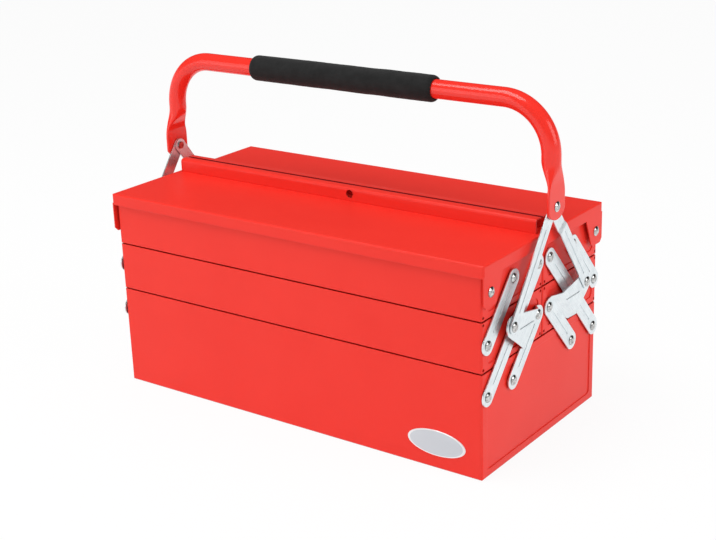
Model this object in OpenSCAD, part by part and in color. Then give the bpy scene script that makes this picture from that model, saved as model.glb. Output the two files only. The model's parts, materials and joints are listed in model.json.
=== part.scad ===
// Cantilever toolbox with a base, two middle trays, two lidded top trays and a carrying bow.
// X runs along the length, the front faces -Y, and the base rests on z = 0.
// Parts of the linkage are drawn at the right rear, in (y, z), and mirrored to the other corners.

/* [Box] */
// Outer length of the base and the trays
box_l = 442; // [430:1:450]
// Outer depth of the base
box_d = 219; // [219:0.5:222]
// Height of the base
base_h = 105; // [103:0.1:105]
// Thickness of the painted sheet
sheet = 1.2; // [1:0.1:1.3]
// Outside radius of the folded edges
fold_r = 2; // [1.5:0.1:2.2]
// Depth of the pressed panel in each end
press_depth = 0.8; // [0.6:0.1:0.9]

/* [Trays] */
// Height of a middle tray
mid_h = 49.2; // [48:0.1:49.2]
// Height of a top tray's walls, mostly under the lid
top_h = 50.2; // [48:0.1:50.4]
// Gap between stacked trays
stack_gap = 0.8; // [0.6:0.1:1]
// Gap between the front half and the rear half
half_gap = 0.8; // [0.6:0.1:1.2]

/* [Lids] */
// Length over both end flanges
lid_l = 450; // [449.6:0.1:450]
// Depth over both closed lids
lid_d = 225; // [224.6:0.1:225]
// Height of the lid panels above the floor
lid_z = 210; // [209.8:0.1:210]
// Depth of the lid's edge flange
lid_lip = 12; // [10:0.5:12]
// Height of the centre ridge above the panel
ridge_h = 14; // [12:0.5:15]
// Width of one lid's half of the centre ridge
ridge_w = 11; // [10:0.5:13]
// Length of the centre ridge
ridge_l = 439; // [430:0.5:439]
// Diameter of the padlock hole through the ridge
lock_d = 8.5; // [6:0.5:9]
// Place of the padlock hole along the length
lock_x = 7.5; // [0:0.5:10]

/* [Linkage] */
// Sideways distance between the two pins of a link
link_run = 45.5;
// Height between two tray levels
level = 50;
// Width of the flat links
link_w = 18; // [16:0.5:18]
// Width of the handle bars
bar_w = 14; // [13:0.5:16]
// Thickness of the flat links
link_t = 1.3; // [1.2:0.1:1.3]
// Gap between the end wall and the links
link_gap = 0.7; // [0.6:0.1:0.7]
// Radius of the shank of a link rivet
pin_r = 2.5; // [2:0.1:2.8]
// Running clearance between a shank and its bore
run_gap = 0.06; // [0.05:0.01:0.08]
// Height of the handle pivot above the floor
pivot_z = 236; // [235:0.5:237]

/* [Handle] */
// Outside diameter of the handle tube
tube_d = 18.5; // [17:0.5:18.5]
// Half the distance between the legs, centre line to centre line
leg_x = 228.5; // [228:0.5:229]
// Radius of the bends, on the centre line
bend_r = 49; // [44:1:52]
// Height of the cross tube's centre line
cross_z = 332; // [325:1:335]
// Diameter of the foam grip
grip_d = 26.5; // [24:0.5:27]
// Length of the foam grip
grip_l = 220; // [200:1:230]

/* [Hidden] */
$fn = 72;

red = "#e8352f";
zinc = "#dbe4e6";
chrome = "#c9ced0";
foam = "#262624";
badge_silver = "#e6e8ea";

// Room kept so that a cut runs clear past the solid it cuts
past = 1;
end_x = box_l / 2;
half_d = box_d / 2;
wall_in = end_x - sheet;
inner_y = half_gap / 2;
hem_h = 8;
// How far the turned-in top edges stop short of the ends
hem_short = 6;

mid_z = base_h + stack_gap;
mid_top = mid_z + mid_h;
top_z = mid_top + stack_gap;
top_rim = top_z + top_h;

// Pins of the linkage as (y, z) at the rear; the front ones are mirrored
base_long = [102, 82];
base_rocker = [56.5, 82];
step = [-link_run, level];
mid_short = base_long + [0, level];
mid_long = base_long + step;
mid_rocker = base_rocker + step;
top_short = mid_short + step;
top_long = mid_long + step;
lid_pin = [100, 183];
lobe_pin = [70, 141];
pivot_pin = [0, pivot_z];

// Layers of the linkage, as distances from the middle of the box
link_x = end_x + link_gap;
lobe_x = 228.9;
bar_x = 230.6;
rear_bar_top_x = 228.9;
bar_joggle = 34;
bar_joggle_run = 4;
foot_x = 232.4;
foot_t = 2.8;

link_r = link_w / 2;
bar_r = bar_w / 2;
lobe_r = 10.5;
head_r = 5;
head_h = 2.2;
head_gap = 0.15;
head_rim = 0.3;
collar_r = 4.5;
clinch_r = 4;
clinch_h = 1.2;
thin_clinch_h = 0.9;
pivot_pin_r = 3;
pivot_head_r = 5;
bore_r = pin_r + run_gap;
pivot_bore_r = pivot_pin_r + run_gap;

bead_w = 1.4;
bead_depth = 0.6;
bead_end = 14;
bead_joggle_end = 10;
bead_top_end = 24;
lobe_bead = [[31, 134.5], [57, 134.5]];
boss_r = 7;
corner_hole_r = 1.5;
corner_hole_inner = 3.5;
corner_hole_outer = 2.8;
corner_hole_low = 3.7;
corner_hole_high = 2.4;
panel_inner = 8;
panel_outer = 101.5;
panel_margin = 7;
top_panel_margin = 10;

foot_w = 30;
foot_end_r = 18;
foot_bottom = 12.5;
// Heights above the pivot of the slanted ends of the round tube, in the foot and at its sides
slant_inner = 23;
slant_inner_side = 47;
slant_outer = 16;
slant_outer_side = 32;
slant_inset = 0.9;
// Where the foot starts to narrow, and where it goes inside the tube and how wide it is there
foot_shoulder = 18;
foot_neck = 44;
foot_neck_w = 11;
// Half the length of the tube's middle piece, which lies inside the grip
tube_split = 100;
grip_x = -5;
grip_edge_r = 4;
grip_squeeze = 0.1;

badge_w = 52;
badge_h = 24;
badge_t = 0.6;
badge_x = 171.7;
badge_z = 26.3;

// How far each half of the ridge stays from the middle
ridge_inner = 1.5;
lock_drop = 6.5;
ear_in = 79;
ear_foot_in = 93;
ear_bottom = 169;
ear_corner = 4;
ear_chamfer = 2.5;

// Placing helpers

// A flat outline in (y, z), x0 from the middle and t thick
module along_x(x0, t) {
  translate([x0, 0, 0]) rotate([90, 0, 90]) linear_extrude(t) children();
}

// A flat outline in (x, z), from y0 on and t deep
module along_y(y0, t) {
  translate([0, y0 + t, 0]) rotate([90, 0, 0]) linear_extrude(t) children();
}

// A flat outline in (x, y), from z0 up and t high
module along_z(z0, t) {
  translate([0, 0, z0]) linear_extrude(t) children();
}

// What is drawn at the rear, at the front (-1) or at the rear (1)
module half(y_side) {
  if (y_side < 0) mirror([0, 1, 0]) children();
  else children();
}

// What is drawn at the right end, at the left end (-1) or at the right end (1)
module end(x_side) {
  if (x_side < 0) mirror([1, 0, 0]) children();
  else children();
}

module both_ends() {
  children();
  mirror([1, 0, 0]) children();
}

module slab(low, high) {
  translate(low) cube(high - low);
}

// Flat shapes

module corner_rect(low, high, r) {
  w = high[0] - low[0];
  h = high[1] - low[1];
  translate([low[0] + r, low[1]]) square([w - 2 * r, h]);
  translate([low[0], low[1] + r]) square([w, h - 2 * r]);
  for (x = [low[0] + r, high[0] - r], y = [low[1] + r, high[1] - r]) translate([x, y]) circle(r);
}

// A rectangle whose two lower corners are round
module low_round_rect(low, high, r) {
  corner_rect(low, high, r);
  translate([low[0], high[1] - 2 * r]) square([high[0] - low[0], 2 * r]);
}

// A rectangle whose two upper corners are round
module high_round_rect(low, high, r) {
  corner_rect(low, high, r);
  translate(low) square([high[0] - low[0], 2 * r]);
}

// A rectangle with one round corner, upper right
module one_round_rect(low, high, r) {
  difference() {
    translate(low) square(high - low);
    translate(high - [r, r]) square(r + past);
  }
  translate(high - [r, r]) circle(r);
}

// A strip with round ends between two pins
module strip(a, b, r) {
  d = b - a;
  n = [-d[1], d[0]] * r / norm(d);
  for (p = [a, b]) translate(p) circle(r);
  polygon([a + n, a - n, b - n, b + n]);
}

// Solids with folded edges

// A box whose bottom edges and upright corners are round
module tub_block(x, y0, y1, z0, z1, r) {
  intersection() {
    along_x(-x, 2 * x) low_round_rect([y0, z0], [y1, z1], r);
    along_y(y0, y1 - y0) low_round_rect([-x, z0], [x, z1], r);
    along_z(z0, z1 - z0) corner_rect([-x, y0], [x, y1], r);
  }
}

// Half a lid's outside or inside: its top edges and outer corners are round
module lid_block(x, y0, y1, z0, z1, r) {
  intersection() {
    along_x(-x, 2 * x) one_round_rect([y0, z0], [y1, z1], r);
    along_y(y0, y1 - y0) high_round_rect([-x, z0], [x, z1], r);
    along_z(z0, z1 - z0) corner_rect([-x, y0 - 2 * r], [x, y1], r);
  }
}

// Outline of a pressed panel, with flat bosses left round the rivets
module panel_outline(low, high, r, bosses, grow) {
  difference() {
    corner_rect(low - [grow, grow], high + [grow, grow], r + grow);
    for (p = bosses) translate(p) circle(boss_r - grow);
  }
}

// Material behind a pressed panel, and the cut in front of it
module panel_back(low, high, r, bosses) {
  along_x(wall_in - press_depth, press_depth + sheet / 2) panel_outline(low, high, r, bosses, sheet);
}

module panel_front(low, high, r, bosses) {
  along_x(end_x - press_depth, press_depth + past) panel_outline(low, high, r, bosses, 0);
}

// Holes for rivets through an end wall
module rivet_holes(pins) {
  for (p = pins) along_x(wall_in - 2 * sheet, 4 * sheet) translate(p) circle(bore_r);
}

// Turned-in top edge of a long wall whose rim is at the height top
module hem(top) {
  x = wall_in - hem_short;
  slab([-x, half_d - 2 * sheet, top - hem_h], [x, half_d - sheet, top]);
}

// Rivets

// Turns a profile of (radius, x) round the pin at p
module turned(p) {
  translate([0, p[0], p[1]]) rotate([90, 0, 90]) rotate_extrude() children();
}

// Profile of a stepped pin, from steps of (radius, start, stop)
module pin_profile(steps) {
  polygon(concat(
    [[0, steps[0][1]]],
    [for (s = steps) each [[s[0], s[1]], [s[0], s[2]]]],
    [[0, steps[len(steps) - 1][2]]]
  ));
}

// Profile of a domed head of radius r and height h whose flat side is at x0
module dome_profile(x0, r, h) {
  cap_h = h - head_rim;
  ball_r = (r * r + cap_h * cap_h) / (2 * cap_h);
  intersection() {
    translate([0, x0 + h - ball_r]) circle(ball_r);
    translate([0, x0]) square([r, 2 * h]);
  }
}

// A rivet clinched inside a wall; what turns on it lies between turn_in and turn_out
module wall_rivet(p, turn_in, turn_out) {
  head_x = turn_out + head_gap;
  turned(p) {
    pin_profile([
      [clinch_r, wall_in - clinch_h, wall_in], [pin_r, wall_in, end_x],
      [collar_r, end_x, turn_in - head_gap], [pin_r, turn_in - head_gap, head_x + head_h / 2]
    ]);
    dome_profile(head_x, head_r, head_h);
  }
}

module link_rivet(p) {
  wall_rivet(p, link_x, link_x + link_t);
}

// Base

base_panel = [[-100.5, 8], [100.5, 98]];
base_panel_r = 4.5;
base_bosses = [base_long, base_rocker, [-base_long[0], base_long[1]], [-base_rocker[0], base_rocker[1]]];

module base_outside() {
  tub_block(end_x, -half_d, half_d, 0, base_h, fold_r);
}

module base_tub() color(red) {
  difference() {
    intersection() {
      base_outside();
      slab([-wall_in, -half_d, 0], [wall_in, half_d, base_h]);
    }
    along_x(-end_x, box_l)
      low_round_rect([-half_d + sheet, sheet], [half_d - sheet, base_h + 2 * past], fold_r - sheet);
  }
  for (y_side = [-1, 1]) half(y_side) hem(base_h);
}

module base_end() color(red) {
  difference() {
    union() {
      intersection() {
        base_outside();
        slab([wall_in, -half_d, 0], [end_x, half_d, base_h]);
      }
      panel_back(base_panel[0], base_panel[1], base_panel_r, base_bosses);
    }
    panel_front(base_panel[0], base_panel[1], base_panel_r, base_bosses);
    for (y_side = [-1, 1]) half(y_side) rivet_holes([base_long, base_rocker]);
  }
}

module base_rivets() color(chrome) {
  both_ends() for (y_side = [-1, 1]) half(y_side) {
    link_rivet(base_long);
    link_rivet(base_rocker);
  }
}

// The bare oval badge on the front
module front_badge() color(badge_silver) {
  along_y(-half_d - badge_t, badge_t)
    translate([badge_x, badge_z]) scale([badge_w / badge_h, 1]) circle(badge_h / 2);
}

// Trays, drawn at the rear: a folded tub closed by a pressed panel at each end

module tray_outside(z0, z1) {
  tub_block(end_x, inner_y, half_d, z0, z1, fold_r);
}

module tray_tub(z0, z1) color(red) {
  difference() {
    intersection() {
      tray_outside(z0, z1);
      slab([-wall_in, inner_y, z0], [wall_in, half_d, z1]);
    }
    along_x(-end_x, box_l)
      low_round_rect([inner_y + sheet, z0 + sheet], [half_d - sheet, z1 + 2 * past], fold_r - sheet);
  }
  hem(z1);
}

// The right end of a tray; pins are the rivets in it
module tray_end(z0, z1, panel, pins, corner_heights) color(red) {
  panel_r = 6;
  corner_y = [inner_y + corner_hole_inner, half_d - corner_hole_outer];
  difference() {
    union() {
      intersection() {
        tray_outside(z0, z1);
        slab([wall_in, inner_y, z0], [end_x, half_d, z1]);
      }
      panel_back(panel[0], panel[1], panel_r, pins);
    }
    panel_front(panel[0], panel[1], panel_r, pins);
    rivet_holes(pins);
    for (y = corner_y, z = corner_heights)
      along_x(wall_in - past, sheet + 2 * past) translate([y, z]) circle(corner_hole_r);
  }
}

module middle_tray() {
  tray_tub(mid_z, mid_top);
}

module middle_tray_end() {
  tray_end(
    mid_z, mid_top,
    [[panel_inner, mid_z + panel_margin], [panel_outer, mid_top - panel_margin]],
    [mid_short, mid_long, mid_rocker],
    [mid_z + corner_hole_low, mid_top - corner_hole_high]
  );
}

module top_tray() {
  tray_tub(top_z, top_rim);
}

module top_tray_end() {
  tray_end(
    top_z, top_rim,
    [[panel_inner, top_z + panel_margin], [panel_outer, top_rim - top_panel_margin]],
    [top_short, top_long, lid_pin],
    [top_z + corner_hole_low]
  );
}

module middle_rivets() color(chrome) {
  both_ends() {
    link_rivet(mid_short);
    link_rivet(mid_long);
    link_rivet(mid_rocker);
  }
}

module top_rivets() color(chrome) {
  both_ends() {
    link_rivet(top_short);
    link_rivet(top_long);
  }
}

module lid_rivets() color(chrome) {
  both_ends() wall_rivet(lid_pin, lid_l / 2 - sheet, lid_l / 2);
}

// Lid, drawn at the rear, with a hinge ear at each end

module ear_outline() {
  y = lid_d / 2;
  low = lid_z - lid_lip;
  polygon([
    [y, low + 2], [y, ear_bottom + ear_corner], [y - ear_corner, ear_bottom], [ear_foot_in, ear_bottom],
    [ear_foot_in - ear_chamfer, ear_bottom + ear_chamfer], [ear_in, low + 1], [ear_in, low + 2]
  ]);
}

module lid() color(red) {
  x = lid_l / 2;
  y = lid_d / 2;
  low = lid_z - lid_lip;
  difference() {
    lid_block(x, inner_y, y, low, lid_z, fold_r);
    lid_block(x - sheet, -past, y - sheet, low - past, lid_z - sheet, fold_r - sheet);
  }
  both_ends() difference() {
    along_x(x - sheet, sheet) ear_outline();
    along_x(x - 2 * sheet, 3 * sheet) translate(lid_pin) circle(bore_r);
  }
}

// A long block whose upper edges are round, apart from the one along the middle
module ridge_block(x, y0, y1, z0, z1, r) {
  intersection() {
    along_x(-x, 2 * x) one_round_rect([y0, z0], [y1, z1], r);
    along_y(y0, y1 - y0) high_round_rect([-x, z0], [x, z1], r);
  }
}

// The lid's half of the ridge, a folded channel on the lid's inner edge
module lid_ridge() color(red) {
  x = ridge_l / 2;
  top = lid_z + ridge_h;
  difference() {
    ridge_block(x, ridge_inner, ridge_w, lid_z, top, fold_r);
    ridge_block(x - sheet, ridge_inner + sheet, ridge_w - sheet, lid_z - past, top - sheet, fold_r - sheet);
    along_y(-past, ridge_w + 2 * past) translate([lock_x, top - lock_drop]) circle(lock_d / 2);
  }
}

// Links

// A straight pressed groove between two points, cut into a face at x0
module bead(a, b, x0) {
  along_x(x0 - bead_depth, bead_depth + past) strip(a, b, bead_w / 2);
}

// Points a given distance from a towards b
function toward(a, b, distance) = a + (b - a) * distance / norm(b - a);

// A groove between the pins at a and b
module pin_bead(a, b, x0) {
  bead(toward(a, b, bead_end), toward(b, a, bead_end), x0);
}

module long_link() color(zinc) {
  difference() {
    along_x(link_x, link_t) difference() {
      strip(base_long, top_long, link_r);
      for (p = [base_long, mid_long, top_long]) translate(p) circle(bore_r);
    }
    pin_bead(base_long, mid_long, link_x + link_t);
    pin_bead(mid_long, top_long, link_x + link_t);
  }
}

module short_link() color(zinc) {
  difference() {
    along_x(link_x, link_t) difference() {
      strip(mid_short, top_short, link_r);
      for (p = [mid_short, top_short]) translate(p) circle(bore_r);
    }
    pin_bead(mid_short, top_short, link_x + link_t);
  }
}

// Rocker plate: an arm close to the wall and a lobe that a joggle lifts over the long link
rocker_notch = [45.5, 109];
joggle_start = 9;
joggle_end = 17;

module rocker_body(x0, t) {
  top_normal = [-0.17, 0.985];
  low_normal = [0.605, -0.796];
  along_x(x0, t) strip(base_rocker, mid_rocker, link_r);
  along_x(x0, t) translate(lobe_pin) circle(lobe_r);
  along_x(x0, t) polygon([
    mid_rocker, mid_rocker + top_normal * link_r, lobe_pin + top_normal * lobe_r,
    lobe_pin, lobe_pin + low_normal * lobe_r, rocker_notch
  ]);
}

// Side view of a sheet that steps from x0 to x1 between two distances, as (distance, x)
module joggle_outline(first, start, stop, last, x0, x1, t) {
  polygon([
    [first, x0], [start, x0], [stop, x1], [last, x1],
    [last, x1 + t], [stop, x1 + t], [start, x0 + t], [first, x0 + t]
  ]);
}

// Turns (distance, x, run) so that distance lies along the direction d in the (y, z) plane
module stepped_sheet(p, d, run) {
  angle = atan2(d[1], d[0]);
  translate([0, p[0], p[1]]) rotate([angle, 0, 0]) rotate([0, 0, 90]) mirror([0, 1, 0])
    translate([0, 0, -run]) linear_extrude(2 * run) children();
}

module rocker() color(zinc) {
  across = [level, link_run];
  difference() {
    intersection() {
      rocker_body(link_x - past, lobe_x + link_t - link_x + 2 * past);
      stepped_sheet(mid_rocker, across, 100)
        joggle_outline(-2 * link_w, joggle_start, joggle_end, 4 * link_w, link_x, lobe_x, link_t);
    }
    for (p = [base_rocker, mid_rocker])
      along_x(link_x - past, link_t + 2 * past) translate(p) circle(bore_r);
    along_x(lobe_x - past, link_t + 2 * past) translate(lobe_pin) circle(bore_r);
    bead(
      toward(base_rocker, mid_rocker, bead_end), toward(mid_rocker, base_rocker, bead_joggle_end),
      link_x + link_t
    );
    bead(lobe_bead[0], lobe_bead[1], lobe_x + link_t);
  }
}

module rocker_rivets() color(chrome) {
  head_x = bar_x + link_t + head_gap;
  both_ends() turned(lobe_pin) {
    pin_profile([[clinch_r, lobe_x - thin_clinch_h, lobe_x], [pin_r, lobe_x, head_x + head_h / 2]]);
    dome_profile(head_x, head_r, head_h);
  }
}

// Handle bars, from the rocker's lobe up to the handle pivot

// The outer bar of a pair is flat
module flat_bar() color(zinc) {
  difference() {
    along_x(bar_x, link_t) difference() {
      strip(lobe_pin, pivot_pin, bar_r);
      translate(lobe_pin) circle(bore_r);
      translate(pivot_pin) circle(pivot_bore_r);
    }
    bead(
      toward(lobe_pin, pivot_pin, bead_end), toward(pivot_pin, lobe_pin, bead_top_end), bar_x + link_t
    );
  }
}

// The inner bar of a pair steps inward near its top, to pass under the outer one
module stepped_bar() color(zinc) {
  bar_length = norm(pivot_pin - lobe_pin);
  joggle_at = bar_length - bar_joggle;
  difference() {
    intersection() {
      along_x(rear_bar_top_x - past, bar_x + link_t - rear_bar_top_x + 2 * past)
        strip(lobe_pin, pivot_pin, bar_r);
      stepped_sheet(lobe_pin, pivot_pin - lobe_pin, bar_w)
        joggle_outline(
          -bar_w, joggle_at, joggle_at + bar_joggle_run, bar_length + bar_w,
          bar_x, rear_bar_top_x, link_t
        );
    }
    along_x(bar_x - past, link_t + 2 * past) translate(lobe_pin) circle(bore_r);
    along_x(rear_bar_top_x - past, link_t + 2 * past) translate(pivot_pin) circle(bore_r);
    bead(
      toward(lobe_pin, pivot_pin, bead_end), toward(lobe_pin, pivot_pin, joggle_at - bar_joggle_run),
      bar_x + link_t
    );
  }
}

// Inner end of the pivot rivets, riding on the stepped bars
module handle_bar_rivets() color(chrome) {
  inner = rear_bar_top_x;
  both_ends() turned(pivot_pin)
    pin_profile([[clinch_r, inner - clinch_h, inner], [pin_r, inner, inner + link_t]]);
}

// Outer end of the pivot rivets, riding on the flat bars: the bow turns on them
module handle_rivets() color(chrome) {
  head_x = foot_x + foot_t + head_gap;
  collar_end = foot_x - head_gap;
  both_ends() turned(pivot_pin) {
    pin_profile([
      [pivot_pin_r, bar_x, bar_x + link_t], [collar_r, bar_x + link_t, collar_end],
      [pivot_pin_r, collar_end, head_x + head_h / 2]
    ]);
    dome_profile(head_x, pivot_head_r, head_h);
  }
}

// Carrying bow

// The foot is the tube pressed flat; its top end lies inside the round tube
module foot_outline() {
  side = foot_w / 2;
  neck = foot_neck_w / 2;
  intersection() {
    translate([0, pivot_z - foot_bottom + foot_end_r]) circle(foot_end_r);
    translate([-side, pivot_z - 2 * foot_bottom]) square([foot_w, 2 * foot_bottom]);
  }
  polygon([
    [-side, pivot_z], [side, pivot_z], [side, pivot_z + foot_shoulder], [neck, pivot_z + foot_neck],
    [-neck, pivot_z + foot_neck], [-side, pivot_z + foot_shoulder]
  ]);
}

module foot() {
  along_x(foot_x, foot_t) difference() {
    foot_outline();
    translate(pivot_pin) circle(pivot_bore_r);
  }
}

// A leg's round tube, cut at a slant on both sides where it is pressed flat
module leg() {
  top = cross_z - bend_r;
  inner = leg_x - tube_d / 2 - past;
  outer = leg_x + tube_d / 2 + past;
  intersection() {
    translate([leg_x, 0, pivot_z]) cylinder(h = top - pivot_z, r = tube_d / 2);
    along_y(-tube_d, 2 * tube_d) polygon([
      [foot_x + slant_inset, pivot_z + slant_inner],
      [foot_x + foot_t - slant_inset, pivot_z + slant_outer],
      [outer, pivot_z + slant_outer_side], [outer, top + past],
      [inner, top + past], [inner, pivot_z + slant_inner_side]
    ]);
  }
}

// A straight length of the cross tube from x0 to x1
module cross_tube(x0, x1) {
  translate([x0, 0, cross_z]) rotate([0, 90, 0]) cylinder(h = x1 - x0, r = tube_d / 2);
}

// The bow's tube is drawn in three lengths, which meet inside the grip
module handle_tube_middle() color(red) {
  cross_tube(-tube_split, tube_split);
}

module handle_tube_side() color(red) {
  bend_x = leg_x - bend_r;
  cross_tube(tube_split, bend_x);
  translate([bend_x, 0, cross_z - bend_r]) rotate([90, 0, 0])
    rotate_extrude(angle = 90) translate([bend_r, 0]) circle(tube_d / 2);
  leg();
  foot();
}

module foam_grip() color(foam) {
  inner_r = tube_d / 2 - grip_squeeze;
  translate([grip_x - grip_l / 2, 0, cross_z]) rotate([0, 90, 0]) rotate_extrude()
    difference() {
      corner_rect([-grip_d / 2, 0], [grip_d / 2, grip_l], grip_edge_r);
      translate([-grip_d, -past]) square([grip_d + inner_r, grip_l + 2 * past]);
    }
}

// The part

base_tub();
base_end();  // base_end_right
end(-1) base_end();  // base_end_left
front_badge();
base_rivets();
half(-1) middle_tray();  // front_middle_tray
half(-1) middle_tray_end();  // front_middle_tray_end_right
end(-1) half(-1) middle_tray_end();  // front_middle_tray_end_left
half(1) middle_tray();  // rear_middle_tray
half(1) middle_tray_end();  // rear_middle_tray_end_right
end(-1) half(1) middle_tray_end();  // rear_middle_tray_end_left
half(-1) middle_rivets();  // front_middle_rivets
half(1) middle_rivets();  // rear_middle_rivets
half(-1) top_tray();  // front_top_tray
half(-1) top_tray_end();  // front_top_tray_end_right
end(-1) half(-1) top_tray_end();  // front_top_tray_end_left
half(1) top_tray();  // rear_top_tray
half(1) top_tray_end();  // rear_top_tray_end_right
end(-1) half(1) top_tray_end();  // rear_top_tray_end_left
half(-1) top_rivets();  // front_top_rivets
half(1) top_rivets();  // rear_top_rivets
half(-1) lid();  // front_lid
half(1) lid();  // rear_lid
half(-1) lid_ridge();  // front_lid_ridge
half(1) lid_ridge();  // rear_lid_ridge
half(-1) lid_rivets();  // front_lid_rivets
half(1) lid_rivets();  // rear_lid_rivets
half(-1) long_link();  // front_long_link_right
end(-1) half(-1) long_link();  // front_long_link_left
long_link();  // rear_long_link_right
end(-1) long_link();  // rear_long_link_left
half(-1) short_link();  // front_short_link_right
end(-1) half(-1) short_link();  // front_short_link_left
short_link();  // rear_short_link_right
end(-1) short_link();  // rear_short_link_left
half(-1) rocker();  // front_rocker_right
end(-1) half(-1) rocker();  // front_rocker_left
rocker();  // rear_rocker_right
end(-1) rocker();  // rear_rocker_left
half(-1) rocker_rivets();  // front_rocker_rivets
half(1) rocker_rivets();  // rear_rocker_rivets
half(-1) flat_bar();  // front_handle_bar_right
end(-1) half(-1) flat_bar();  // front_handle_bar_left
stepped_bar();  // rear_handle_bar_right
end(-1) stepped_bar();  // rear_handle_bar_left
handle_bar_rivets();
handle_rivets();
handle_tube_middle();
handle_tube_side();  // handle_tube_right
end(-1) handle_tube_side();  // handle_tube_left
foam_grip();
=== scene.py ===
# Looks of the cantilever toolbox: materials, pieces that replace solids, floor, light and camera
import json
import math

import bmesh
import bpy
from mathutils import Matrix, Vector, noise

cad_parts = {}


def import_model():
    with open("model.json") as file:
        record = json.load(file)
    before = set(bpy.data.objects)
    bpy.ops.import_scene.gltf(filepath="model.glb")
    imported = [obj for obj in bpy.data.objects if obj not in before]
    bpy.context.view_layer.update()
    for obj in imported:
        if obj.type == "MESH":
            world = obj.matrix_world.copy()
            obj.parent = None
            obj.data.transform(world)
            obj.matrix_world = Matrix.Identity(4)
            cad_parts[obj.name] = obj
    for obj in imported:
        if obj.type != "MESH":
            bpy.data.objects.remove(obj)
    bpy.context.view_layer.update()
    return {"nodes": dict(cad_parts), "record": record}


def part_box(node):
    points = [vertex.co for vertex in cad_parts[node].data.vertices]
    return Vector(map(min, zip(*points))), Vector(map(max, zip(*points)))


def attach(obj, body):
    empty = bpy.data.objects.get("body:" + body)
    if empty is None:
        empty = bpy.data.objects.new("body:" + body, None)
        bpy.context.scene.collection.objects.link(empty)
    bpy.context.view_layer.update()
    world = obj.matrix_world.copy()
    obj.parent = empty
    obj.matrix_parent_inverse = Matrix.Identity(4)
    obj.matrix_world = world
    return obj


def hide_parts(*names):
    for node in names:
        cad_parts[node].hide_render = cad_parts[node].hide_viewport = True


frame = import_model()
mm = 0.001

# Sizes that the boxes of the frame's nodes don't give

link_width = 18 * mm
handle_bar_width = 14 * mm

# The badge's width and height as shares of its solid's
badge_wider = 1.22
badge_taller = 1.08

ridge_sheet = 1.2 * mm
# Outer radius of the ridge's fold
ridge_fold = 3.2 * mm
# Depth past the sheet's cut edge along the ridge's gap that gets painted shade
gap_shade_depth = 0.2 * mm
# Padlock hole: its place along the length, its depth below the ridge's top and its radius
lock_x = 7.5 * mm
lock_below_top = 6.5 * mm
lock_radius = 4.25 * mm

tube_radius = 9.25 * mm
tube_bend = 49 * mm
tube_points = 72
foot_thick = 2.8 * mm
foot_width = 30 * mm
# From the tube's middle line out to the foot's outer face
foot_offset = 6.7 * mm
# Radius of the foot's round lower end, and its centre's height above the rivet
foot_tip = 18 * mm
tip_centre = 5.5 * mm
# Heights above the rivet where the round leg starts to change, and where it is a pressed foot
press_inner_face = (43 * mm, 18 * mm)
press_outer_face = (42 * mm, 20 * mm)
press_width = (40 * mm, 10 * mm)
# Rings of the leg: angles round the tip, then heights above the rivet in millimetres
tip_angles = (0, 6, 13, 20, 28, 36, 46, 56)
leg_steps = range(-2, 46)

grip_bore = 9.3 * mm

# Edges that fold by more than this stay crisp
crisp = math.radians(35)

# Colours, linear

red = (0.88, 0.034, 0.021)
# Painted highlight along folds and edges
red_painted_highlight = (0.91, 0.060, 0.042)
red_deep = (0.84, 0.028, 0.017)
# Painted shade for gaps and the ridge's cut edge
red_painted_shade = (0.26, 0.004, 0.007)
zinc_light = (0.88, 0.93, 0.95)
zinc_dark = (0.72, 0.78, 0.81)
rivet_light = (0.70, 0.70, 0.69)
rivet_dark = (0.22, 0.22, 0.22)
foam_black = (0.005, 0.005, 0.005)
foam_grey = (0.012, 0.012, 0.012)
badge_rim = (0.86, 0.86, 0.87)
badge_grey = (0.60, 0.64, 0.68)
floor_white = (0.92, 0.92, 0.92)
floor_pale = (0.90, 0.90, 0.90)

# Finishes of the powder coat

satin = {"roughness": (0.30, 0.38), "specular": 0.25, "peel_depth": 0.018 * mm}
gloss = {"roughness": (0.14, 0.22), "specular": 0.45, "peel_depth": 0.008 * mm}


# Node helpers


class Nodes:
    """Adds and links the nodes of a tree by short calls."""

    def __init__(self, tree):
        self.tree = tree

    def add(self, kind, **inputs):
        node = self.tree.nodes.new(kind)
        for name, value in inputs.items():
            self.put(node, name.replace("_", " "), value)
        return node

    def put(self, node, name, value):
        """Links a socket to an input, or writes a plain value in it."""
        if isinstance(value, bpy.types.NodeSocket):
            self.tree.links.new(value, node.inputs[name])
        elif isinstance(value, tuple) and len(value) == 3 and node.inputs[name].type == "RGBA":
            node.inputs[name].default_value = (*value, 1)
        else:
            node.inputs[name].default_value = value

    def math(self, operation, a, b=0.0, clamp=False):
        node = self.add("ShaderNodeMath")
        node.operation = operation
        node.use_clamp = clamp
        self.put(node, 0, a)
        self.put(node, 1, b)
        return node.outputs[0]

    def span(self, value, low, high, to_low=0.0, to_high=1.0):
        """value from low..high laid onto to_low..to_high, and held at both ends."""
        node = self.add("ShaderNodeMapRange", Value=value)
        ends = {"From Min": low, "From Max": high, "To Min": to_low, "To Max": to_high}
        for name, number in ends.items():
            node.inputs[name].default_value = number
        return node.outputs["Result"]

    def seen_directly(self, share):
        """share for what the camera, a mirror or glass sees, else 0."""
        path = self.add("ShaderNodeLightPath")
        seen = self.math("ADD", path.outputs["Is Camera Ray"], path.outputs["Is Glossy Ray"])
        seen = self.math("ADD", seen, path.outputs["Is Transmission Ray"], clamp=True)
        return self.math("MULTIPLY", seen, share)


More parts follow.
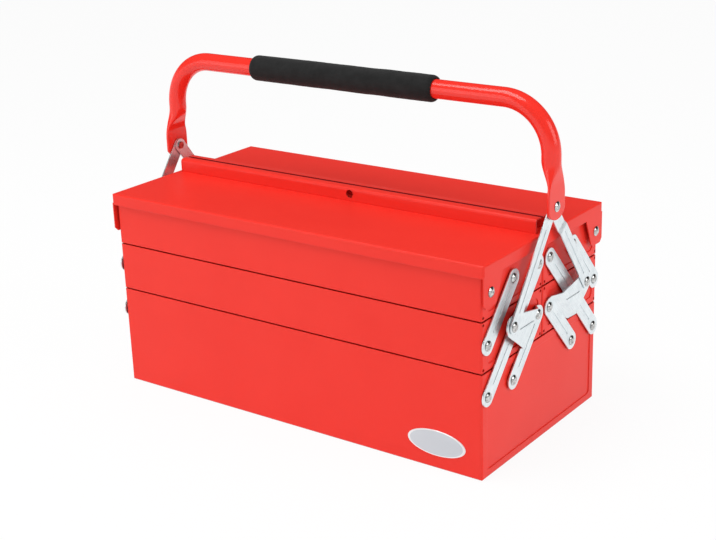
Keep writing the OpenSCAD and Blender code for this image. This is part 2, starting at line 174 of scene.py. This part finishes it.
class Shader(Nodes):
    """A new material with its nodes."""

    def __init__(self, name):
        self.material = bpy.data.materials.new(name)
        self.material.use_nodes = True
        super().__init__(self.material.node_tree)
        self.surface = self.tree.nodes["Principled BSDF"]
        self.place = self.add("ShaderNodeTexCoord").outputs["Object"]

    def set(self, **inputs):
        for name, value in inputs.items():
            self.put(self.surface, name.replace("_", " "), value)

    def vector(self, operation, a, b=None):
        """Outputs Vector and Value of an operation on one or two vectors."""
        node = self.add("ShaderNodeVectorMath")
        node.operation = operation
        self.put(node, 0, a)
        if b is not None:
            self.put(node, 1, b)
        return node.outputs

    def moved(self, vector, turn=(0, 0, 0), stretch=(1, 1, 1)):
        mapping = self.add("ShaderNodeMapping", Vector=vector)
        mapping.inputs["Rotation"].default_value = turn
        mapping.inputs["Scale"].default_value = stretch
        return mapping.outputs["Vector"]

    def noise(self, size, vector=None, detail=2.0, roughness=0.5):
        """Soft noise from 0 to 1 whose spots are about size metres wide."""
        node = self.add(
            "ShaderNodeTexNoise", Vector=vector or self.place, Scale=1 / size,
            Detail=detail, Roughness=roughness,
        )
        return node.outputs["Fac"]

    def cells(self, size):
        """Distance from the middle of the nearest cell, of cells about size metres wide."""
        return self.add("ShaderNodeTexVoronoi", Vector=self.place, Scale=1 / size).outputs["Distance"]

    def mix(self, factor, a, b):
        node = self.tree.nodes.new("ShaderNodeMix")
        node.data_type = "RGBA"
        self.put(node, 0, factor)
        self.put(node, 6, a)
        self.put(node, 7, b)
        return node.outputs[2]

    def bump(self, height, depth, normal=None):
        node = self.add("ShaderNodeBump", Height=height, Distance=depth)
        if normal is not None:
            self.put(node, "Normal", normal)
        return node.outputs["Normal"]

    def round_edges(self, radius):
        """Normals that turn softly over each edge."""
        node = self.add("ShaderNodeBevel", Radius=radius)
        node.samples = 6
        return node.outputs["Normal"]

    def crevice(self, reach, low, high):
        """1 deep in a gap narrower than reach and 0 in the open."""
        node = self.add("ShaderNodeAmbientOcclusion", Distance=reach)
        node.samples = 8
        return self.span(node.outputs["AO"], low, high, 1.0, 0.0)

    def edge(self, radius, low=0.02, high=0.2):
        """1 along sharp edges and 0 on flat stretches."""
        flat = self.add("ShaderNodeNewGeometry").outputs["Normal"]
        facing = self.vector("DOT_PRODUCT", self.round_edges(radius), flat)["Value"]
        return self.span(self.math("SUBTRACT", 1.0, facing), low, high)


# Materials


def paint(name, roughness, specular, peel_depth, gap_wall=0.0):
    """Red powder coat with a fine orange peel, a painted highlight along folds and painted shade in
    gaps.

    With a gap_wall, all that lies nearer to the box's middle plane than that gets painted shade as
    well.
    """
    s = Shader(name)
    cloud = s.noise(60 * mm, detail=3.0)
    peel = s.noise(1.3 * mm, detail=1.5)
    grain = s.noise(0.35 * mm, detail=1.0)
    mottle = s.math("ADD", cloud, grain)
    # Painted highlight: a lighter red along folds and edges
    fold_highlight = s.math("MULTIPLY", s.edge(0.8 * mm), 0.7)
    # Painted shade: dark red where ambient occlusion finds a narrow gap
    crevice_shade = s.math("MULTIPLY", s.crevice(4 * mm, 0.15, 0.42), 0.85)
    tone = s.mix(s.span(mottle, 0.6, 1.4), red, red_deep)
    tone = s.mix(fold_highlight, tone, red_painted_highlight)
    tone = s.mix(crevice_shade, tone, red_painted_shade)
    # Painted shade on the ridge's cut edge along its gap
    if gap_wall:
        fade = 0.2 * mm
        off_middle = s.math("ABSOLUTE", s.add("ShaderNodeSeparateXYZ", Vector=s.place).outputs["Y"])
        tone = s.mix(s.span(off_middle, gap_wall, gap_wall + fade, 1.0, 0.0), tone, red_painted_shade)
    fine = s.bump(grain, 0.006 * mm, s.round_edges(0.6 * mm))
    s.set(
        Base_Color=tone, Normal=s.bump(peel, peel_depth, fine),
        Roughness=s.span(mottle, 0.6, 1.4, *roughness), Specular_IOR_Level=specular,
    )
    return s.material


def zinc(name, direction):
    """Bright zinc plate on rolled strip, faintly streaked along an angle in the (y, z) plane."""
    s = Shader(name)
    along = s.moved(s.place, turn=(-direction, 0, 0))
    streak_place = s.moved(along, stretch=(1, 0.06, 1))
    streak = s.noise(0.9 * mm, streak_place, detail=3.0, roughness=0.65)
    cloud = s.noise(11 * mm, detail=4.0, roughness=0.6)
    speck = s.noise(1.6 * mm, detail=2.0)
    # Painted highlight: a paler zinc along the strip's edges
    zinc_edge_highlight = s.math("MULTIPLY", s.edge(0.5 * mm), 0.6)
    tone = s.mix(s.span(s.math("ADD", streak, cloud), 0.75, 1.3), zinc_dark, zinc_light)
    s.set(
        Base_Color=s.mix(zinc_edge_highlight, tone, zinc_light), Metallic=0.9,
        Roughness=s.span(s.math("ADD", streak, speck), 0.7, 1.3, 0.26, 0.40),
        Normal=s.bump(streak, 0.010 * mm, s.round_edges(0.4 * mm)),
    )
    return s.material


def rivet():
    """Plated rivet heads, cloudy, with painted shade round their rims."""
    s = Shader("plated_rivet")
    cloud = s.noise(2.2 * mm, detail=3.0)
    # Painted shade round the rims
    rim = s.math("MULTIPLY", s.edge(0.5 * mm), 0.7)
    tone = s.mix(s.span(cloud, 0.35, 0.75), rivet_light, rivet_dark)
    s.set(
        Base_Color=s.mix(rim, tone, rivet_dark), Metallic=1.0,
        Roughness=s.span(s.noise(0.7 * mm, detail=2.0), 0.3, 0.7, 0.06, 0.14),
        Normal=s.bump(cloud, 0.04 * mm, s.round_edges(0.2 * mm)),
    )
    return s.material


def foam():
    """Closed-cell foam: matt, with fine cells and a few larger pits."""
    s = Shader("grip_foam")
    cell = s.cells(0.55 * mm)
    pit = s.cells(2.3 * mm)
    cloud = s.noise(9 * mm, detail=4.0)
    # The pits' darker colour is painted shade; the same mask dents them
    open_pit = s.span(pit, 0.0, 0.28)
    tone = s.mix(s.span(cloud, 0.3, 0.75), foam_black, foam_grey)
    s.set(
        Base_Color=s.mix(open_pit, foam_black, tone), Specular_IOR_Level=0.2,
        Sheen_Weight=0.08, Sheen_Roughness=0.6,
        Roughness=s.span(cell, 0.0, 0.7, 0.75, 0.95),
        Normal=s.bump(cell, 0.10 * mm, s.bump(open_pit, 0.10 * mm)),
    )
    return s.material


def badge(centre, half_size):
    """Satin silver oval with a pale rim."""
    s = Shader("satin_badge")
    offset = s.vector("SUBTRACT", s.place, centre)["Vector"]
    flat = s.moved(offset, stretch=(1 / half_size.x, 0, 1 / half_size.z))
    rim = s.span(s.vector("LENGTH", flat)["Value"], 0.91, 0.93)
    brush = s.noise(0.4 * mm, s.moved(s.place, stretch=(0.05, 1, 1)), detail=3.0)
    s.set(
        Base_Color=s.mix(rim, badge_grey, badge_rim), Metallic=0.4,
        Roughness=s.span(brush, 0.3, 0.7, 0.28, 0.42),
        Normal=s.bump(s.math("ADD", s.math("MULTIPLY", brush, 0.2), rim), 0.02 * mm),
    )
    return s.material


def floor_material():
    """A plain white floor that the camera sees close to white, with the object's shadow kept."""
    s = Shader("floor_white")
    s.set(
        Base_Color=s.mix(s.noise(0.4, detail=2.0), floor_white, floor_pale), Roughness=0.8,
        Specular_IOR_Level=0.1,
    )
    glow = s.add("ShaderNodeEmission", Color=(1.0, 1.0, 1.0), Strength=1.0)
    blend = s.add("ShaderNodeMixShader")
    s.put(blend, 0, s.seen_directly(0.92))
    s.put(blend, 1, s.surface.outputs[0])
    s.put(blend, 2, glow.outputs[0])
    s.put(s.tree.nodes["Material Output"], "Surface", blend.outputs[0])
    return s.material


def paint_nodes():
    """Gives the CAD nodes their materials, apart from badge and foam, which new pieces replace."""
    rows = {row["node"]: row["material_slot"] for row in frame["record"]["subparts"]}
    coats = {"red_paint": paint("red_powder_coat", **satin), "rivet_metal": rivet()}
    strips = {}
    for name, node in frame["nodes"].items():
        finish = rows[name]
        if finish == "zinc_plate":
            angle = strip_angle(name)
            if angle not in strips:
                strips[angle] = zinc(f"zinc_strip_{len(strips)}", math.radians(angle))
            material = strips[angle]
        else:
            material = coats.get(finish)
        if material:
            node.data.materials.clear()
            node.data.materials.append(material)


def strip_angle(name):
    """Angle of a link's length in the (y, z) plane, in degrees, from its own box."""
    low, high = (Vector(corner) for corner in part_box(name))
    width = handle_bar_width if "handle_bar" in name else link_width
    lean = math.degrees(math.atan2(high.z - low.z - width, high.y - low.y - width))
    return round(lean if name.startswith("front") else 180 - lean, 1)


# Mesh helpers


def circle(count):
    """Angles of count points evenly round a circle."""
    return [2 * math.pi * k / count for k in range(count)]


def quarter(steps):
    """Angles from 0 to a quarter turn, in equal steps."""
    return [math.pi / 2 * step / steps for step in range(steps + 1)]


def skin(name, rings, material, loop=False):
    """A closed smooth mesh through rings of points, with a face at each end or joined in a loop."""
    mesh = bmesh.new()
    rows = [[mesh.verts.new(point) for point in ring] for ring in rings]
    for a, b in zip(rows, rows[1:] + rows[:1] if loop else rows[1:]):
        for k in range(len(a)):
            after = (k + 1) % len(a)
            mesh.faces.new((a[k], a[after], b[after], b[k]))
    if not loop:
        mesh.faces.new(rows[0])
        mesh.faces.new(rows[-1])
    bmesh.ops.recalc_face_normals(mesh, faces=mesh.faces)
    data = bpy.data.meshes.new(name)
    mesh.to_mesh(data)
    mesh.free()
    data.shade_smooth()
    data.materials.append(material)
    piece = bpy.data.objects.new(name, data)
    bpy.context.scene.collection.objects.link(piece)
    return piece


def drill(piece, centre, radius):
    """Cuts a round hole along Y through a piece, with a rod that is removed again."""
    reach = 20 * mm
    rim = [centre + Vector((math.cos(a), 0, math.sin(a))) * radius for a in circle(40)]
    rings = [[point + Vector((0, y, 0)) for point in rim] for y in (-reach, reach)]
    rod = skin("drill", rings, piece.data.materials[0])
    cut = piece.modifiers.new("padlock_hole", "BOOLEAN")
    cut.operation = "DIFFERENCE"
    cut.object = rod
    bpy.context.view_layer.update()
    solved = piece.evaluated_get(bpy.context.evaluated_depsgraph_get())
    data = bpy.data.meshes.new_from_object(solved)
    piece.modifiers.clear()
    piece.data = data
    bpy.data.objects.remove(rod)


# Badge


def badge_plate():
    """The bare oval on the front: a thin plate with a soft rim, a little larger than its solid."""
    low, high = (Vector(corner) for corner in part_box("front_badge"))
    middle = (low + high) / 2
    half = Vector(((high.x - low.x) * badge_wider / 2, 0, (high.z - low.z) * badge_taller / 2))
    soft_rim = 0.25 * mm
    front_share = 0.985
    rings = []
    for share, y in ((1, high.y), (1, low.y + soft_rim), (front_share, low.y)):
        ring = []
        for a in circle(96):
            x = middle.x + half.x * share * math.cos(a)
            ring.append(Vector((x, y, middle.z + half.z * share * math.sin(a))))
        rings.append(ring)
    piece = skin("badge_plate", rings, badge(middle, half))
    piece.data.set_sharp_from_angle(angle=crisp)
    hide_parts("front_badge")
    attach(piece, "base")


# Ridge of the lids


def ridge_section(inner, outer, low, top):
    """Points (y, z) of half the ridge: a wall and a flange, folded from one sheet."""
    fold_y, fold_z = outer - ridge_fold, top - ridge_fold
    face, lining = [(inner, top)], [(inner, top - ridge_sheet)]
    for a in quarter(8):
        for line, bend in ((face, ridge_fold), (lining, ridge_fold - ridge_sheet)):
            line.append((fold_y + bend * math.sin(a), fold_z + bend * math.cos(a)))
    return [*face, (outer, low), (outer - ridge_sheet, low), *reversed(lining)]


def lid_ridge(name, body, side):
    """Half of the centre ridge, open at its ends and towards the middle, with its padlock hole."""
    low, high = (Vector(corner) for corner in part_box(name))
    inner, outer = sorted((abs(low.y), abs(high.y)))
    section = ridge_section(inner, outer, low.z, high.z)
    rings = [[Vector((x, side * y, z)) for y, z in section] for x in (low.x, high.x)]
    # The strip along the ridge's gap gets painted shade
    coat = paint("red_ridge_coat", **satin, gap_wall=inner + gap_shade_depth)
    piece = skin(name + "_fold", rings, coat)
    drill(piece, Vector((lock_x, 0, high.z - lock_below_top)), lock_radius)
    piece.data.set_sharp_from_angle(angle=crisp)
    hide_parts(name)
    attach(piece, body)


# Carrying bow


def ease(value, start, stop):
    """0 at start and 1 at stop, with a soft run between them."""
    t = min(max((value - start) / (stop - start), 0), 1)
    return t * t * (3 - 2 * t)


def pressed_ring(height, leg_x, outer_face):
    """Points (x, y) of a leg's section at a height above the rivet: round, or pressed flat below."""
    inner = leg_x - tube_radius
    inner += (outer_face - foot_thick - inner) * ease(height, *press_inner_face)
    outer = leg_x + tube_radius
    outer += (outer_face - outer) * ease(height, *press_outer_face)
    half = tube_radius + (foot_width / 2 - tube_radius) * ease(height, *press_width)
    below = tip_centre - height
    if below > 0:
        least = 0.3 * mm
        half = min(half, math.sqrt(max(foot_tip * foot_tip - below * below, 0)) + least)
    middle, flat = (inner + outer) / 2, (outer - inner) / 2
    # A flattened section keeps its round corners, because each x is held softly within flat
    power = 6
    share = (flat / tube_radius) ** power
    still_round = 0.999
    ring = []
    for a in circle(tube_points):
        x = tube_radius * math.cos(a)
        if share < still_round:
            limit = flat / (1 - share) ** (1 / power)
            x /= (1 + abs(x / limit) ** power) ** (1 / power)
        ring.append((middle + x, half * math.sin(a)))
    return ring


def bend_ring(angle, leg_x, cross_z):
    """The tube's round section at an angle along its bend from the leg to the cross tube."""
    ring = []
    for a in circle(tube_points):
        reach = tube_bend + tube_radius * math.cos(a)
        x = leg_x - tube_bend + reach * math.cos(angle)
        z = cross_z - tube_bend + reach * math.sin(angle)
        ring.append(Vector((x, tube_radius * math.sin(a), z)))
    return ring


def carrying_bow():
    """The bent tube in one piece, each leg pressed flat towards its rivet."""
    low, high = (Vector(corner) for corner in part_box("handle_tube_right"))
    leg_x = high.x - tube_radius
    rivet_z = low.z + foot_tip - tip_centre
    heights = [tip_centre - foot_tip * math.cos(math.radians(a)) for a in tip_angles]
    heights += [step * mm for step in leg_steps]
    half = []
    for height in heights:
        section = pressed_ring(height, leg_x, leg_x + foot_offset)
        half.append([Vector((x, y, rivet_z + height)) for x, y in section])
    half += [bend_ring(angle, leg_x, high.z - tube_radius) for angle in quarter(28)]
    other = [[Vector((-p.x, p.y, p.z)) for p in ring] for ring in reversed(half)]
    piece = skin("carrying_bow", half + other, paint("red_gloss_coat", **gloss))
    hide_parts("handle_tube_middle", "handle_tube_right", "handle_tube_left")
    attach(piece, "carry_handle")


# Foam grip


def grip_profile(low_x, high_x, radius):
    """Points (x, radius) of a sleeve with soft corners and dished ends, from bore to bore."""
    corner_length, corner_depth = 4.5 * mm, 2.8 * mm
    dish, shoulder = 4 * mm, 0.5 * mm
    rows = 150
    start = [(low_x + dish, grip_bore), (low_x + dish / 4, radius - corner_depth - shoulder)]
    for a in reversed(quarter(8)):
        x = low_x + corner_length * (1 - math.sin(a))
        start.append((x, radius - corner_depth * (1 - math.cos(a))))
    length = high_x - low_x - 2 * corner_length
    straight = [(low_x + corner_length + length * i / rows, radius) for i in range(1, rows)]
    return start + straight + [(low_x + high_x - x, r) for x, r in reversed(start)]


def foam_swell(point):
    """How far the foam's skin stands out at a point, a little under 0 in the mean."""
    waves = noise.noise(point * 40) * 0.3
    fine = noise.noise(point * 260) * 0.1
    return (waves + fine - 0.25) * mm


def foam_grip():
    """A foam sleeve: a turned tube with soft ends and a slightly uneven skin."""
    low, high = (Vector(corner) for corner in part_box("foam_grip"))
    middle = (low + high) / 2
    rings = []
    for x, r in grip_profile(low.x, high.x, (high.z - low.z) / 2):
        ring = []
        for a in circle(96):
            out = Vector((0, math.cos(a), math.sin(a)))
            swell = foam_swell(Vector((x, 0, 0)) + out * r) if r > grip_bore else 0
            ring.append(Vector((x, middle.y, middle.z)) + out * (r + swell))
        rings.append(ring)
    piece = skin("grip_sleeve", rings, foam(), loop=True)
    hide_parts("foam_grip")
    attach(piece, "carry_handle")


# Floor, light and camera


def floor():
    """A wide white plane a hair under the box."""
    reach = 6.0
    gap = 0.2 * mm
    corners = [(-reach, -reach, 0), (reach, -reach, 0), (reach, reach, 0), (-reach, reach, 0)]
    data = bpy.data.meshes.new("floor")
    data.from_pydata(corners, [], [(0, 1, 2, 3)])
    data.materials.append(floor_material())
    piece = bpy.data.objects.new("floor", data)
    piece.location.z = -gap
    bpy.context.scene.collection.objects.link(piece)


def world():
    """A white studio whose ceiling is dim: the camera sees white, as does a mirror near the horizon."""
    horizon_glow, ceiling_glow, ceiling_from = 0.7, 0.04, 0.15
    ambient_glow = 0.6
    sky = bpy.data.worlds.new("studio")
    sky.use_nodes = True
    bpy.context.scene.world = sky
    n = Nodes(sky.node_tree)
    path = n.add("ShaderNodeLightPath")
    ray = n.add("ShaderNodeSeparateXYZ", Vector=n.add("ShaderNodeTexCoord").outputs["Generated"])
    falloff = n.span(ray.outputs["Z"], 0.0, ceiling_from, horizon_glow, ceiling_glow)
    mirrored = n.math("MULTIPLY", path.outputs["Is Glossy Ray"], falloff)
    straight = n.math("MAXIMUM", path.outputs["Is Camera Ray"], path.outputs["Is Transmission Ray"])
    ambient = n.span(path.outputs["Is Glossy Ray"], 0.0, 1.0, ambient_glow, 0.0)
    level = n.math("MAXIMUM", n.math("MAXIMUM", straight, mirrored), ambient)
    n.put(sky.node_tree.nodes["Background"], "Color", (1, 1, 1))
    n.put(sky.node_tree.nodes["Background"], "Strength", level)


def softbox(name, place, size, power):
    """A lamp of a width and height, at place, aimed at the middle of the box."""
    box_middle = Vector((0, 0, 0.12))
    data = bpy.data.lights.new(name, "AREA")
    data.shape = "RECTANGLE"
    data.size, data.size_y = size
    data.energy = power
    lamp = bpy.data.objects.new(name, data)
    lamp.location = place
    lamp.rotation_euler = (box_middle - Vector(place)).to_track_quat("-Z", "Y").to_euler()
    bpy.context.scene.collection.objects.link(lamp)


def light():
    """A strong lamp overhead, a weak one from the front left and one on the right end."""
    softbox("key_top", (-0.3, -0.6, 1.9), (1.3, 0.9), 19)
    softbox("fill_front", (-1.2, -1.8, 0.7), (1.2, 1.2), 7)
    softbox("side_right", (2.0, 0.2, 1.0), (1.2, 1.2), 12)


def camera():
    """The photograph's view: angles, distance and lens fitted to the box's corners and rivets."""
    azimuth = math.radians(36.50)
    elevation = math.radians(19.45)
    roll = math.radians(-1.94)
    distance = 1.457
    target = Vector((0.00689, 0, 0.13334))
    back = Vector((
        math.sin(azimuth) * math.cos(elevation), -math.cos(azimuth) * math.cos(elevation),
        math.sin(elevation),
    ))
    right = Vector((math.cos(azimuth), math.sin(azimuth), 0))
    up = back.cross(right)
    right, up = (
        right * math.cos(roll) + up * math.sin(roll),
        up * math.cos(roll) - right * math.sin(roll),
    )
    data = bpy.data.cameras.new("camera")
    data.lens = 71.39
    data.sensor_width = 36
    eye = bpy.data.objects.new("camera", data)
    turn = Matrix((right, up, back)).transposed()
    eye.matrix_world = Matrix.Translation(target + back * distance) @ turn.to_4x4()
    bpy.context.scene.collection.objects.link(eye)
    bpy.context.scene.camera = eye


camera()
paint_nodes()
lid_ridge("front_lid_ridge", "front_lid_panel", -1)
lid_ridge("rear_lid_ridge", "rear_lid_panel", 1)
badge_plate()
carrying_bow()
foam_grip()
floor()
world()
light()
bpy.context.scene.view_settings.view_transform = "Standard"
